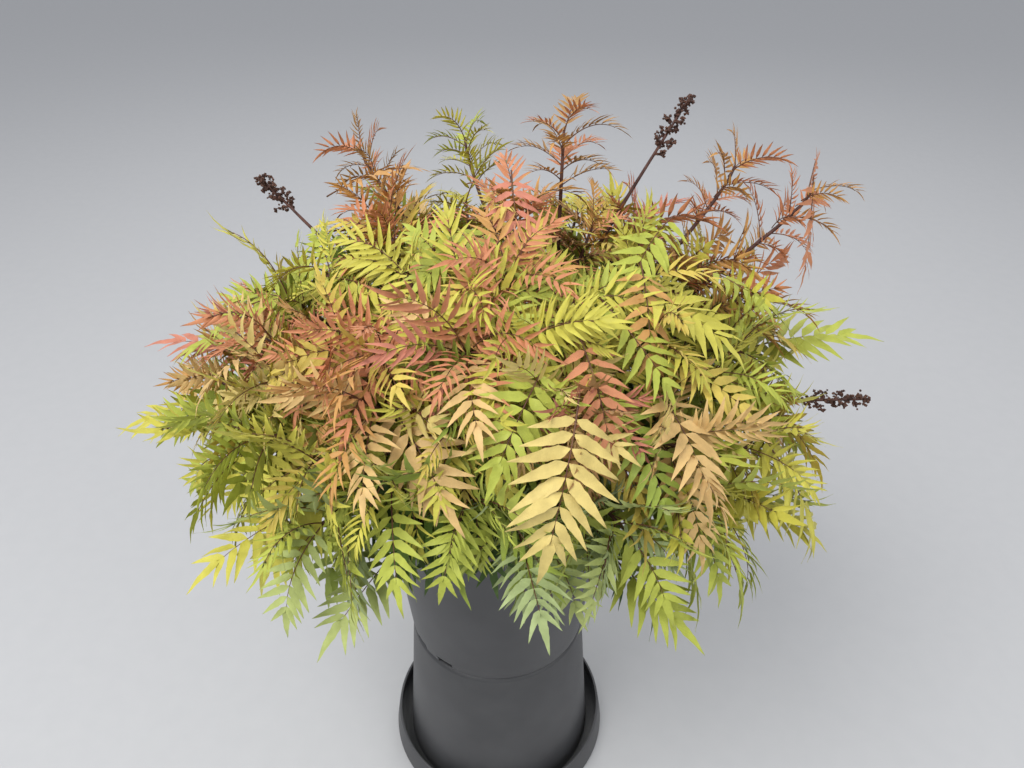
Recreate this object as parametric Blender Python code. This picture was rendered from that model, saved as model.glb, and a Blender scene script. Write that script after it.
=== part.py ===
"""A false spirea in a nursery container that stands on a second, upturned container.

Metres, +Z up. The origin is on the ground, on the containers' common axis, and -Y is the front.
"""
import bpy
import bmesh
from math import cos, hypot, pi, radians, sin, sqrt, tau
from mathutils import Matrix, Vector, noise

# Clearance between neighbouring solids, and between the leaves and the plant's container
GAP = 0.0003
LEAF_CLEARANCE = 0.004

# Containers: both have the same base, and the lower one is upside down
BASE_RADIUS = 0.0909
WALL = 0.002
FLOOR = 0.003
CORNER = 0.003
ROUND_SEGMENTS = 36
SHARP_DEGREES = 35
MERGE_DISTANCE = 0.00001
PLINTH_HEIGHT = 0.1909
PLINTH_WALL_RADIUS = 0.105
SKIRT_RADIUS = 0.1227
SKIRT_TOP_RADIUS = 0.1175
SKIRT_HEIGHT = 0.030
POT_HEIGHT = 0.205
POT_MOUTH_RADIUS = 0.1094
LIP_RADIUS = 0.1145
LIP_HEIGHT = 0.009
NOTCH_WIDTH = 0.017
NOTCH_HEIGHT = 0.010
NOTCH_DEPTH = 0.012
NOTCH_PAIR_DEGREES = (-46, 91, 202)
NOTCH_SPREAD_DEGREES = 11.5
SOIL_BELOW_RIM = 0.022
SOIL_CROWN = 0.004

POT_FLOOR_Z = PLINTH_HEIGHT + GAP
RIM_Z = POT_FLOOR_Z + POT_HEIGHT
SOIL_Z = RIM_Z - SOIL_BELOW_RIM

# Crown: half its width from side to side, half its depth from front to back
CROWN_HALF_WIDTH = 0.290
CROWN_HALF_DEPTH = 0.250
CROWN_SHIFT = 0.010
MASS_SPOKES = 12
MASS_RINGS = 7
TIP_SPOKES = 8
TIP_RINGS = 6
UNEVEN = 0.26
LUMP = 1.7
LUMP_STEP = 3.7
SEED = 41

# Outline of a mass: 2 is an ellipsoid and less is pointed, and a pointed tip stays even
ROUNDED = 2.0
POINTED = 1.55
EVEN_TIP_POWER = 6

# A mass whose centre is less than this above the rim, and outside the lip, hangs beside the container
HANGING_LEVEL = 0.045

# Each ring of leaf masses: share of the crown's half width, height of the centres, lift, half sizes
SIDES = ["front", "front_right", "right", "back_right", "back", "back_left", "left", "front_left"]
LOW_RING = {"share": 0.66, "height": 0.462, "lift": -12, "half": (0.105, 0.100, 0.066)}
HIGH_SIDES = ["front", "right_front", "right_back", "back", "left_back", "left_front"]
HIGH_RING = {"share": 0.37, "height": 0.556, "lift": -24, "half": (0.088, 0.086, 0.060)}
TOP_MASS = {"share": 0.0, "height": 0.607, "lift": 0, "half": (0.082, 0.078, 0.050)}

# Shoots and leaves that stand out of the crown: root, tip, half width, half thickness
TIPS = {
    "seed_head_left": ((-0.118, 0.066, 0.545), (-0.205, 0.100, 0.648), 0.018, 0.014),
    "shoot_back_left": ((-0.085, 0.110, 0.585), (-0.118, 0.155, 0.662), 0.040, 0.024),
    "shoot_back": ((-0.010, 0.100, 0.600), (-0.030, 0.140, 0.676), 0.034, 0.022),
    "shoot_top": ((0.040, 0.050, 0.610), (0.072, 0.062, 0.712), 0.048, 0.026),
    "seed_head_top": ((0.100, 0.060, 0.600), (0.160, 0.080, 0.722), 0.026, 0.018),
    "shoot_right": ((0.140, 0.050, 0.560), (0.212, 0.080, 0.688), 0.038, 0.026),
    "shoot_far_right": ((0.140, 0.030, 0.515), (0.292, 0.085, 0.682), 0.052, 0.034),
    "leaf_right": ((0.180, 0.018, 0.486), (0.331, 0.020, 0.556), 0.044, 0.018),
    "seed_head_right": ((0.230, -0.020, 0.480), (0.318, -0.030, 0.496), 0.028, 0.018),
    "leaf_low_right": ((0.188, -0.066, 0.466), (0.285, -0.110, 0.374), 0.034, 0.014),
    "leaf_hanging_right": ((0.105, -0.160, 0.440), (0.146, -0.196, 0.362), 0.042, 0.016),
    "leaf_front": ((0.030, -0.180, 0.478), (0.036, -0.262, 0.468), 0.055, 0.016),
    "leaf_hanging_left": ((-0.085, -0.160, 0.440), (-0.128, -0.200, 0.366), 0.040, 0.016),
    "leaf_low_left": ((-0.165, -0.125, 0.470), (-0.232, -0.165, 0.418), 0.036, 0.014),
    "leaf_left": ((-0.205, -0.006, 0.468), (-0.331, -0.020, 0.474), 0.036, 0.018),
    "frond_left": ((-0.190, 0.016, 0.488), (-0.300, 0.020, 0.548), 0.036, 0.016),
    "leaf_back_left": ((-0.150, 0.150, 0.480), (-0.215, 0.215, 0.500), 0.044, 0.016),
    "leaf_back": ((0.010, 0.190, 0.480), (0.020, 0.262, 0.462), 0.050, 0.016),
    "leaf_back_right": ((0.150, 0.150, 0.480), (0.220, 0.205, 0.468), 0.044, 0.016),
}

# Boughs: foot circle in the soil, radii at foot and end, and the masses that they enter
FOOT_RADIUS = 0.032
BOUGH_FOOT = 0.0042
BOUGH_END = 0.0022
BOUGH_LEAD = 0.004
BOUGH_BEND = 0.45
BOUGH_POINTS = 9
INNER_FOOT_SHARE = 0.5
LOW_BOUGHS = ["front", "right", "back_right", "back_left", "left", "front_left"]

COLOURS = {
    "container": (0.072, 0.074, 0.078),
    "compost": (0.045, 0.030, 0.020),
    "bark": (0.090, 0.040, 0.028),
    "leaf_low": (0.300, 0.420, 0.090),
    "leaf_high": (0.560, 0.480, 0.110),
    "leaf_new": (0.620, 0.260, 0.120),
    "seed_head": (0.070, 0.035, 0.022),
}
ROUGHNESS = {"container": 0.55, "compost": 0.95, "bark": 0.80}


def clear_scene():
    for thing in list(bpy.data.objects):
        bpy.data.objects.remove(thing, do_unlink=True)


def material(name):
    """A plain material in the plant's colours."""
    made = bpy.data.materials.get(name)
    if made is None:
        made = bpy.data.materials.new(name)
        made.use_nodes = True
        shader = made.node_tree.nodes["Principled BSDF"]
        shader.inputs["Base Color"].default_value = (*COLOURS[name], 1.0)
        shader.inputs["Roughness"].default_value = ROUGHNESS.get(name, 0.6)
        shader.inputs["Metallic"].default_value = 0.0
    return made


def add_object(name, mesh, material_name):
    """A bmesh as a named object with one material."""
    data = bpy.data.meshes.new(name)
    mesh.to_mesh(data)
    mesh.free()
    data.materials.append(material(material_name))
    thing = bpy.data.objects.new(name, data)
    bpy.context.scene.collection.objects.link(thing)
    return thing


def turned(name, outline, material_name):
    """Turn an outline of (radius, height) points, from axis to axis, about the vertical axis."""
    mesh = bmesh.new()
    points = [mesh.verts.new((radius, 0.0, height)) for radius, height in outline]
    edges = [mesh.edges.new(pair) for pair in zip(points, points[1:])]
    bmesh.ops.spin(mesh, geom=points + edges, cent=(0, 0, 0), axis=(0, 0, 1),
                   angle=tau, steps=ROUND_SEGMENTS)
    bmesh.ops.remove_doubles(mesh, verts=mesh.verts, dist=MERGE_DISTANCE)
    bmesh.ops.recalc_face_normals(mesh, faces=mesh.faces)
    thing = add_object(name, mesh, material_name)
    thing.data.shade_smooth()
    thing.data.set_sharp_from_angle(angle=radians(SHARP_DEGREES))
    return thing


def plinth_container():
    """The lower container: floor up, wall flaring down to a flange with an outer skirt."""
    top = PLINTH_HEIGHT
    inner_slope = PLINTH_WALL_RADIUS - WALL
    outline = [
        (0.0, top),
        (BASE_RADIUS - CORNER, top),
        (BASE_RADIUS, top - CORNER),
        (PLINTH_WALL_RADIUS, WALL),
        (SKIRT_RADIUS - WALL, WALL),
        (SKIRT_TOP_RADIUS - WALL, SKIRT_HEIGHT),
        (SKIRT_TOP_RADIUS, SKIRT_HEIGHT),
        (SKIRT_RADIUS, 0.0),
        (inner_slope, 0.0),
        (BASE_RADIUS - WALL, top - FLOOR),
        (0.0, top - FLOOR),
    ]
    return turned("lower_container", outline, "container")


def notch_cutter():
    """One joined cutter for the drain notches round the foot of the plant's container."""
    mesh = bmesh.new()
    for turn in notch_turns():
        made = bmesh.ops.create_cube(mesh, size=1.0)["verts"]
        bmesh.ops.scale(mesh, verts=made, vec=(NOTCH_DEPTH, NOTCH_WIDTH, 2 * NOTCH_HEIGHT))
        bmesh.ops.translate(mesh, verts=made, vec=(BASE_RADIUS, 0, POT_FLOOR_Z))
        bmesh.ops.rotate(mesh, verts=made, cent=(0, 0, 0), matrix=Matrix.Rotation(turn, 3, "Z"))
    cutter = add_object("notch_cutter", mesh, "container")
    cutter.hide_render = True
    cutter.display_type = "WIRE"
    return cutter


def notch_turns():
    """The turn of each notch about the vertical axis: they are in pairs, counted from the front."""
    front = -pi / 2
    spreads = (-NOTCH_SPREAD_DEGREES, NOTCH_SPREAD_DEGREES)
    return [front + radians(pair + spread) for pair in NOTCH_PAIR_DEGREES for spread in spreads]


def wall_radius(height):
    """The pot wall's outer radius at a height above the pot's own foot."""
    return BASE_RADIUS + (POT_MOUTH_RADIUS - BASE_RADIUS) * height / POT_HEIGHT


def plant_container():
    """The upper container: floor down, wall flaring up to a plain lip, notches at the foot."""
    foot = POT_FLOOR_Z
    under_lip = POT_HEIGHT - LIP_HEIGHT
    outline = [
        (0.0, foot),
        (BASE_RADIUS - CORNER, foot),
        (BASE_RADIUS, foot + CORNER),
        (wall_radius(under_lip), foot + under_lip),
        (LIP_RADIUS, foot + under_lip),
        (LIP_RADIUS, RIM_Z - WALL / 2),
        (LIP_RADIUS - WALL / 2, RIM_Z),
        (POT_MOUTH_RADIUS - WALL, RIM_Z),
        (BASE_RADIUS - WALL, foot + FLOOR),
        (0.0, foot + FLOOR),
    ]
    pot = turned("plant_container", outline, "container")
    cut = pot.modifiers.new("Drain notches", "BOOLEAN")
    cut.operation = "DIFFERENCE"
    cut.solver = "EXACT"
    cut.object = notch_cutter()
    return pot


def root_ball():
    """The compost that fills the plant's container to a little below the rim."""
    floor = POT_FLOOR_Z + FLOOR + GAP
    inset = WALL + 2 * GAP
    notch_top = POT_FLOOR_Z + NOTCH_HEIGHT + GAP
    top_radius = wall_radius(SOIL_Z - POT_FLOOR_Z) - inset
    outline = [
        (0.0, floor),
        (BASE_RADIUS - inset - NOTCH_DEPTH / 2, floor),
        (wall_radius(NOTCH_HEIGHT) - inset, notch_top),
        (top_radius, SOIL_Z - SOIL_CROWN),
        (FOOT_RADIUS + 2 * BOUGH_FOOT, SOIL_Z),
        (0.0, SOIL_Z),
    ]
    return turned("root_ball", outline, "compost")


class Lobe:
    """An uneven closed mass round a centre, trimmed by flat planes where neighbours meet it."""

    def __init__(self, name, centre, axis, half, pointed, material_name, detail):
        self.name = name
        self.centre = Vector(centre)
        along = Vector(axis).normalized()
        across = along.cross(Vector((0, 0, 1)))
        across = across.normalized() if across.length > 0.01 else Vector((0, 1, 0))
        self.axes = (along, across, along.cross(across))
        self.half = half
        self.pointed = pointed
        self.material_name = material_name
        self.detail = detail
        self.planes = []

    def ray(self, direction):
        """Distance from the centre to the even outline along a direction."""
        return 1 / sqrt(sum((direction.dot(a) / h) ** 2 for a, h in zip(self.axes, self.half)))

    def extent(self, direction):
        """How far the even outline reaches in a direction, measured square to it."""
        return sqrt(sum((direction.dot(a) * h) ** 2 for a, h in zip(self.axes, self.half)))

    def spoke(self, unit, index):
        """The line from the centre to the surface for one point of a unit sphere."""
        line = sum((a * h * u for a, h, u in zip(self.axes, self.half, unit)), Vector())
        power = self.pointed
        line *= sum(abs(u) ** power for u in unit) ** (-1 / power)
        tip_share = abs(unit[0]) ** EVEN_TIP_POWER if power < ROUNDED else 0.0
        rough = UNEVEN * (1 - tip_share)
        line *= 1 + rough * noise.noise(unit * LUMP + Vector((SEED, LUMP_STEP * index, 0)))
        share = 1.0
        for point, normal in self.planes:
            toward = line.dot(normal)
            if toward > 0:
                share = min(share, (point - self.centre).dot(normal) / toward)
        return line * share

    def build(self, index):
        spokes, rings = self.detail
        mesh = bmesh.new()
        bmesh.ops.create_uvsphere(mesh, u_segments=spokes, v_segments=rings, radius=1.0)
        bmesh.ops.triangulate(mesh, faces=mesh.faces)
        for vert in mesh.verts:
            unit = vert.co.copy()
            if self.pointed < ROUNDED:
                unit = Vector((vert.co.z, vert.co.x, vert.co.y))
            vert.co = self.centre + self.spoke(unit, index)
        return add_object(self.name, mesh, self.material_name)


def ring_of_masses(prefix, sides, ring, material_name):
    """A ring of leaf masses round the crown, the first one at the front."""
    lobes = []
    for index, side in enumerate(sides):
        turn = -pi / 2 + tau * index / len(sides)
        place = Vector((
            cos(turn) * ring["share"] * CROWN_HALF_WIDTH,
            sin(turn) * ring["share"] * CROWN_HALF_DEPTH + CROWN_SHIFT,
            ring["height"],
        ))
        slope = radians(ring["lift"])
        axis = (cos(turn) * cos(slope), sin(turn) * cos(slope), sin(slope))
        along, across, thick = ring["half"]
        depth_share = hypot(cos(turn), sin(turn) * CROWN_HALF_DEPTH / CROWN_HALF_WIDTH)
        half = (along * depth_share, across, thick)
        detail = (MASS_SPOKES, MASS_RINGS)
        lobes.append(Lobe(prefix + side, place, axis, half, ROUNDED, material_name, detail))
    return lobes


def standing_out(name, root, tip, half_width, half_thickness):
    """A slender pointed mass from a root inside the crown to a tip outside it."""
    root, tip = Vector(root), Vector(tip)
    half = ((tip - root).length / 2, half_width, half_thickness)
    kind = "seed_head" if name.startswith("seed") else "leaf_new"
    if name.startswith("leaf"):
        kind = "leaf_low"
    detail = (TIP_SPOKES, TIP_RINGS)
    return Lobe(name, (root + tip) / 2, tip - root, half, POINTED, kind, detail)


def part_neighbours(lobes):
    """Put a flat plane, with a gap, between any two masses that would meet."""
    for index, first in enumerate(lobes):
        for second in lobes[index + 1:]:
            line = second.centre - first.centre
            distance = line.length
            toward = line.normalized()
            reach = 1 + UNEVEN
            if (first.extent(toward) + second.extent(toward)) * reach < distance:
                continue
            mine, theirs = first.ray(toward), second.ray(toward)
            meeting = first.centre + toward * (distance * mine / (mine + theirs))
            first.planes.append((meeting - toward * GAP / 2, toward))
            second.planes.append((meeting + toward * GAP / 2, -toward))


def keep_off_container(lobe):
    """Keep a mass above the rim, or outside the wall where it hangs beside the container."""
    level = Vector((lobe.centre.x, lobe.centre.y, 0))
    clear_radius = LIP_RADIUS + LEAF_CLEARANCE
    if level.length > clear_radius and lobe.centre.z < RIM_Z + HANGING_LEVEL:
        outward = level.normalized()
        lobe.planes.append((outward * clear_radius, -outward))
    else:
        above_rim = Vector((0, 0, RIM_Z + LEAF_CLEARANCE))
        lobe.planes.append((above_rim, Vector((0, 0, -1))))


def bough(name, foot, mass):
    """A tapering limb from the compost to the face of a mass that looks most towards its foot."""
    faces = mass.data.polygons
    best = max(faces, key=lambda face: face.normal.dot((foot - face.center).normalized()))
    end = best.center + best.normal * GAP
    start = foot + Vector((0, 0, BOUGH_LEAD))
    finish = end + best.normal * BOUGH_LEAD
    bend = BOUGH_BEND * (finish - start).length
    above = start + Vector((0, 0, bend))
    before = finish + best.normal * bend
    curve = bpy.data.curves.new(name, "CURVE")
    curve.dimensions = "3D"
    curve.bevel_depth = 1.0
    curve.bevel_resolution = 2
    curve.use_fill_caps = True
    places = [foot]
    for index in range(BOUGH_POINTS):
        t = index / (BOUGH_POINTS - 1)
        s = 1 - t
        places.append(s ** 3 * start + 3 * s * s * t * above + 3 * s * t * t * before + t ** 3 * finish)
    places.append(end)
    spline = curve.splines.new("POLY")
    spline.points.add(len(places) - 1)
    for index, (point, place) in enumerate(zip(spline.points, places)):
        t = index / (len(places) - 1)
        point.co = (*place, 1.0)
        point.radius = BOUGH_FOOT * (1 - t) + BOUGH_END * t
    curve.materials.append(material("bark"))
    thing = bpy.data.objects.new(name, curve)
    bpy.context.scene.collection.objects.link(thing)
    return thing


def main():
    clear_scene()
    plinth_container()
    plant_container()
    root_ball()
    low = ring_of_masses("leaves_low_", SIDES, LOW_RING, "leaf_low")
    high = ring_of_masses("leaves_high_", HIGH_SIDES, HIGH_RING, "leaf_high")
    top = ring_of_masses("leaves_", ["top"], TOP_MASS, "leaf_high")
    tips = [standing_out(name, *sizes) for name, sizes in TIPS.items()]
    lobes = low + high + top + tips
    part_neighbours(lobes)
    for lobe in lobes:
        keep_off_container(lobe)
    built = {lobe.name: lobe.build(index) for index, lobe in enumerate(lobes)}
    entered = ["leaves_low_" + side for side in LOW_BOUGHS]
    entered += ["leaves_high_" + side for side in HIGH_SIDES]
    for index, mass_name in enumerate(entered):
        mass = built[mass_name]
        corners = [Vector(corner) for corner in mass.bound_box]
        centre = sum(corners, Vector()) / len(corners)
        outward = Vector((centre.x, centre.y, 0)).normalized()
        spread = FOOT_RADIUS
        if index >= len(LOW_BOUGHS):
            spread *= INNER_FOOT_SHARE
        foot = outward * spread + Vector((0, 0, SOIL_Z + GAP))
        bough("bough_" + mass_name.removeprefix("leaves_"), foot, mass)


main()
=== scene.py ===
"""The looks of a potted false spirea: leaves, twigs, bark, seed heads, compost and containers."""
import random
from math import cos, pi, radians, sin, tau

import bmesh
import bpy
import numpy as np
from mathutils import Matrix, Vector, noise


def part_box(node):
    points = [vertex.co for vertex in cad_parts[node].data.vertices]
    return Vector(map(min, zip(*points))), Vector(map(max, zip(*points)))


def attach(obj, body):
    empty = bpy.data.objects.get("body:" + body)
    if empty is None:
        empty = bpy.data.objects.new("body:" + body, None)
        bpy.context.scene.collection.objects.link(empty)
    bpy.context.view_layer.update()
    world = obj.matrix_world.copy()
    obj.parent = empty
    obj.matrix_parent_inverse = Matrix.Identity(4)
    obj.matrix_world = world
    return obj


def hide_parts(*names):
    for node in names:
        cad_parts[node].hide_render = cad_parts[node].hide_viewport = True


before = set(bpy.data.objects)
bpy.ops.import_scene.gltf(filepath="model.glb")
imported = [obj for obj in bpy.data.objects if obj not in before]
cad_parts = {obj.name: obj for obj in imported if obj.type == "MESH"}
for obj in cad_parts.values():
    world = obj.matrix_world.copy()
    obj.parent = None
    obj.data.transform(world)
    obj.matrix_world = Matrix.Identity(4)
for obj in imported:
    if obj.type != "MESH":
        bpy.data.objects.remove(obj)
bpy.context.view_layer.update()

SEED = 7
SIDES = ["front", "right", "back", "left"]
UP = Vector((0, 0, 1))
EAST = Vector((1, 0, 0))

# How upright a way is when EAST takes the place of UP, for leaves and for tubes
STEEP = 0.95
STEEP_TUBE = 0.9

# The photograph's view: a camera above and in front, looking down at the crown
CAMERA_PLACE = (0.0155, -0.5693, 0.8914)
CAMERA_DOWN = 35.3
CAMERA_LENS = 28.125
SENSOR_WIDTH = 36.0

# The studio: the floor's half width, the sky's light, and the lamps as name, place, width and power
FLOOR_HALF = 9.0
SKY_COLOUR = (0.90, 0.93, 1.0, 1.0)
SKY_STRENGTH = 0.58
LAMPS = [
    ("key", (-0.9, -0.9, 2.3), 1.5, 41.0),
    ("fill", (1.6, -1.0, 1.7), 1.8, 11.0),
    ("back", (0.2, 1.9, 2.1), 1.6, 12.0),
]
LAMP_AIM = Vector((0, 0, 0.45))

# The crown as a dome that the shoots end on: centre and half sizes
CROWN_CENTRE = Vector((0.0, 0.012, 0.448))
CROWN_HALF = Vector((0.228, 0.184, 0.182))
CLUMP_RADIUS = 0.034

# Both containers: the radius of the foot, the walls and the corners. Their outer radii and their
# heights come from the nodes' boxes.
BASE_RADIUS = 0.0909
WALL = 0.002
FLOOR_THICK = 0.003
POT_SEGMENTS = 96
CORNER_RADIUS = 0.0012
CORNER_SHARE = 0.45
SHARP_DEGREES = 50
WELD = 0.00001

# The lower container's skirt, the groove behind it and the flange it stands on, as offsets
SKIRT_LEAN = 0.0052
SKIRT_HEIGHT = 0.030
SKIRT_LIP = 0.0008
GROOVE_MOUTH, GROOVE_MOUTH_HEIGHT = 0.0130, 0.016
GROOVE_FLOOR, GROOVE_FLOOR_HEIGHT = 0.0138, 0.003
FLANGE_BEVEL, FLANGE_BEVEL_HEIGHT = 0.001, 0.002
FLANGE_INSIDE = 0.012

# The plant's container: its lip, the wall just above the notches, and pairs of notches, turned from the
# front in degrees
LIP_WIDTH = 0.0051
LIP_UNDERSIDE, LIP_UNDERSIDE_DROP = 0.0010, 0.010
LIP_FOOT, LIP_FOOT_DROP = 0.0006, 0.009
LIP_BEVEL = 0.002
LIP_INSIDE_DROP = 0.0005
ABOVE_NOTCHES, ABOVE_NOTCHES_HEIGHT = 0.0013, 0.014
NOTCH_PAIRS = (-46, 91, 202)
NOTCH_SPREAD = 11.5
NOTCH_SIZE = (0.012, 0.017, 0.020)

# The compost: its surface in rings with lumps as (grain, height), and the crumbs of bark on it
BALL_SEGMENTS = 72
BALL_FOOT_RADIUS = 0.082
BALL_GAP = 0.001
BALL_SHOULDER, BALL_SHOULDER_DROP = 0.0006, 0.004
SURFACE_RINGS = 24
SURFACE_DROP = 0.002
LUMPY_DEPTH = 0.003
LUMPS = ((90, 0.0022), (260, 0.0012))
CRUMB_COUNT = 420
CRUMB_EDGE = 0.006
CRUMB_SINK = 0.001
CRUMB_LIFT = 0.001
CRUMB_LENGTH, CRUMB_BREADTH, CRUMB_THICKNESS = (0.002, 0.006), (0.001, 0.003), (0.0006, 0.0015)
CRUMB_TILT = (1, 1, 0.4)

# A small lump of eight faces: its six ends and its triangles
LUMP_ENDS = ((1, 0, 0), (-1, 0, 0), (0, 0.8, 0), (0, -0.8, 0), (0, 0, 0.8), (0, 0, -0.8))
LUMP_FACES = np.array([(0, 2, 4), (2, 1, 4), (1, 3, 4), (3, 0, 4),
                       (2, 0, 5), (1, 2, 5), (3, 1, 5), (0, 3, 5)])

# Looks other than leaves: base colour, roughness, the two colours of the speckle, then the speckle's
# scale and detail, the relief's strength and scale, and how the pattern is stretched
LOOKS = {
    "stem_bark": ((0.10, 0.04, 0.03), 0.62, ((0.050, 0.016, 0.012), (0.150, 0.065, 0.045)),
                  160.0, 5.0, 0.7, 500.0, (1, 1, 0.25)),
    "leaf_stalk": ((0.13, 0.045, 0.025), 0.50, ((0.085, 0.022, 0.016), (0.190, 0.085, 0.035)),
                   60.0, 3.0, 0.3, 700.0, (1, 1, 1)),
    "seed_head_brown": ((0.07, 0.03, 0.02), 0.80, ((0.035, 0.014, 0.010), (0.135, 0.062, 0.040)),
                        240.0, 3.0, 0.6, 900.0, (1, 1, 1)),
    "container_plastic": ((0.066, 0.066, 0.068), 0.42, ((0.058, 0.058, 0.060), (0.074, 0.074, 0.076)),
                          22.0, 6.0, 0.12, 1400.0, (1, 1, 1)),
    "compost": ((0.040, 0.026, 0.018), 0.95, ((0.014, 0.009, 0.006), (0.075, 0.048, 0.032)),
                190.0, 8.0, 1.0, 600.0, (1, 1, 1)),
    "pale_floor": ((0.56, 0.56, 0.56), 0.85, ((0.548, 0.549, 0.550), (0.560, 0.560, 0.560)),
                   40.0, 4.0, 0.15, 60.0, (1, 1, 1)),
}
SPECKLE_RAMP = (0.32, 0.68)
RELIEF_DETAIL = 6.0
RELIEF_DISTANCE = 0.001
PLASTIC_SPECULAR = 0.45

# All leaf tints: gloss and sheen, the paler and darker share of the speckle, and its grain and relief
LEAF_ROUGHNESS = 0.52
LEAF_SPECULAR = 0.35
LEAF_SHEEN = 0.08
LEAF_PALER, LEAF_PALER_LIFT = 1.10, 0.008
LEAF_DARKER = 0.86
LEAF_GRAIN = (90.0, 3.0, 0.35, 900.0, (1, 1, 1))

# Leaf colours by name, as plain linear base colours; the darkest green is painted shade, for leaves deep
# inside the crown
TINTS = {
    "salmon": (0.620, 0.250, 0.115),
    "rose": (0.590, 0.215, 0.135),
    "orange": (0.590, 0.310, 0.090),
    "brown": (0.430, 0.235, 0.075),
    "peach": (0.700, 0.465, 0.180),
    "cream": (0.700, 0.545, 0.175),
    "gold": (0.640, 0.490, 0.090),
    "yellow": (0.590, 0.540, 0.075),
    "lime": (0.440, 0.480, 0.065),
    "leaf": (0.280, 0.350, 0.045),
    "green": (0.150, 0.245, 0.032),
    # painted shade: a dark green standing in for the shade deep inside the crown
    "shaded_green": (0.060, 0.110, 0.018),
    "grey": (0.340, 0.410, 0.170),
    "pale": (0.430, 0.490, 0.150),
}
TINT_NAMES = list(TINTS)

# What each kind of shoot wears: tints of its young tuft and of its older leaves
SHOOT_KINDS = {
    "salmon": {"young": ["salmon", "salmon", "orange"], "old": ["gold", "yellow", "lime", "leaf"]},
    "rose": {"young": ["rose", "rose", "salmon"], "old": ["peach", "yellow", "lime", "leaf"]},
    "orange": {"young": ["orange", "salmon", "brown"], "old": ["gold", "yellow", "lime", "leaf"]},
    "brown": {"young": ["brown", "orange", "rose"], "old": ["brown", "gold", "lime", "leaf"]},
    "peach": {"young": ["peach", "orange"], "old": ["peach", "cream", "gold", "lime"]},
    "cream": {"young": ["cream", "peach"], "old": ["cream", "cream", "yellow", "lime"]},
    "yellow": {"young": ["gold", "yellow"], "old": ["yellow", "yellow", "lime", "leaf"]},
    "lime": {"young": ["yellow", "lime"], "old": ["lime", "yellow", "lime", "leaf"]},
    # the oldest leaves of a green shoot wear the dark green of painted shade
    "green": {"young": ["lime", "leaf"], "old": ["lime", "leaf", "green", "shaded_green"]},
    "grey": {"young": ["lime", "grey"], "old": ["pale", "lime", "grey", "leaf"]},
}
# Tints of the lowest, oldest leaves on each stem, inside the crown: real older greens, and the dark green
# of painted shade
OLD_GREEN_AND_SHADE_TINTS = ["green", "shaded_green", "leaf"]

# Shoots seen in the photograph: kind, turn from the front, height angle, share of the dome, tuft size
SHOOTS = [
    ("orange", -127, 58, 1.04, 0.80), ("salmon", -112, 66, 1.00, 0.95), ("yellow", -167, 62, 1.04, 0.70),
    ("salmon", 150, 82, 1.02, 0.95), ("salmon", 9, 69, 1.02, 0.90), ("orange", 100, 70, 1.03, 0.75),
    ("rose", 120, 54, 1.06, 1.00), ("salmon", 103, 42, 1.06, 0.95), ("salmon", 92, 34, 1.08, 1.00),
    ("rose", -66, 38, 1.06, 0.90), ("salmon", -30, 48, 1.03, 1.00), ("rose", -6, 50, 1.04, 1.00),
    ("yellow", 8, 53, 1.03, 1.00), ("peach", -25, 36, 1.04, 0.90), ("brown", 20, 33, 1.04, 0.85),
    ("salmon", -43, 44, 1.02, 0.85), ("peach", 37, 24, 1.06, 0.90), ("yellow", -7, 34, 1.04, 0.80),
    ("cream", 12, 38, 1.06, 0.80), ("yellow", -33, 22, 1.08, 0.80), ("yellow", 47, 47, 1.04, 0.85),
    ("lime", 74, 32, 1.05, 0.90), ("lime", -75, 56, 1.03, 0.90), ("yellow", -40, 66, 1.02, 0.90),
    ("lime", -12, 64, 1.01, 0.90), ("lime", 34, 61, 0.98, 0.90), ("yellow", 62, 58, 1.03, 0.90),
    ("cream", -53, 33, 1.05, 0.90), ("lime", -50, 20, 1.06, 1.00), ("yellow", 18, 50, 1.00, 0.80),
    ("green", -1, 40, 0.95, 0.90), ("lime", -20, 20, 1.02, 0.90), ("green", -4, 18, 1.00, 0.90),
    ("grey", 8, 8, 0.92, 0.80), ("grey", 23, 10, 1.04, 0.90), ("lime", 39, 10, 1.04, 0.90),
    ("yellow", 56, 14, 1.08, 0.90), ("orange", 78, 14, 1.08, 0.90), ("lime", -79, 46, 1.04, 0.90),
    ("peach", -78, 18, 1.06, 0.85), ("grey", -32, 6, 1.03, 0.90), ("lime", 60, 32, 1.04, 0.85),
    ("lime", 24, 42, 1.02, 0.70), ("lime", -62, 8, 1.03, 0.95),
]

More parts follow.
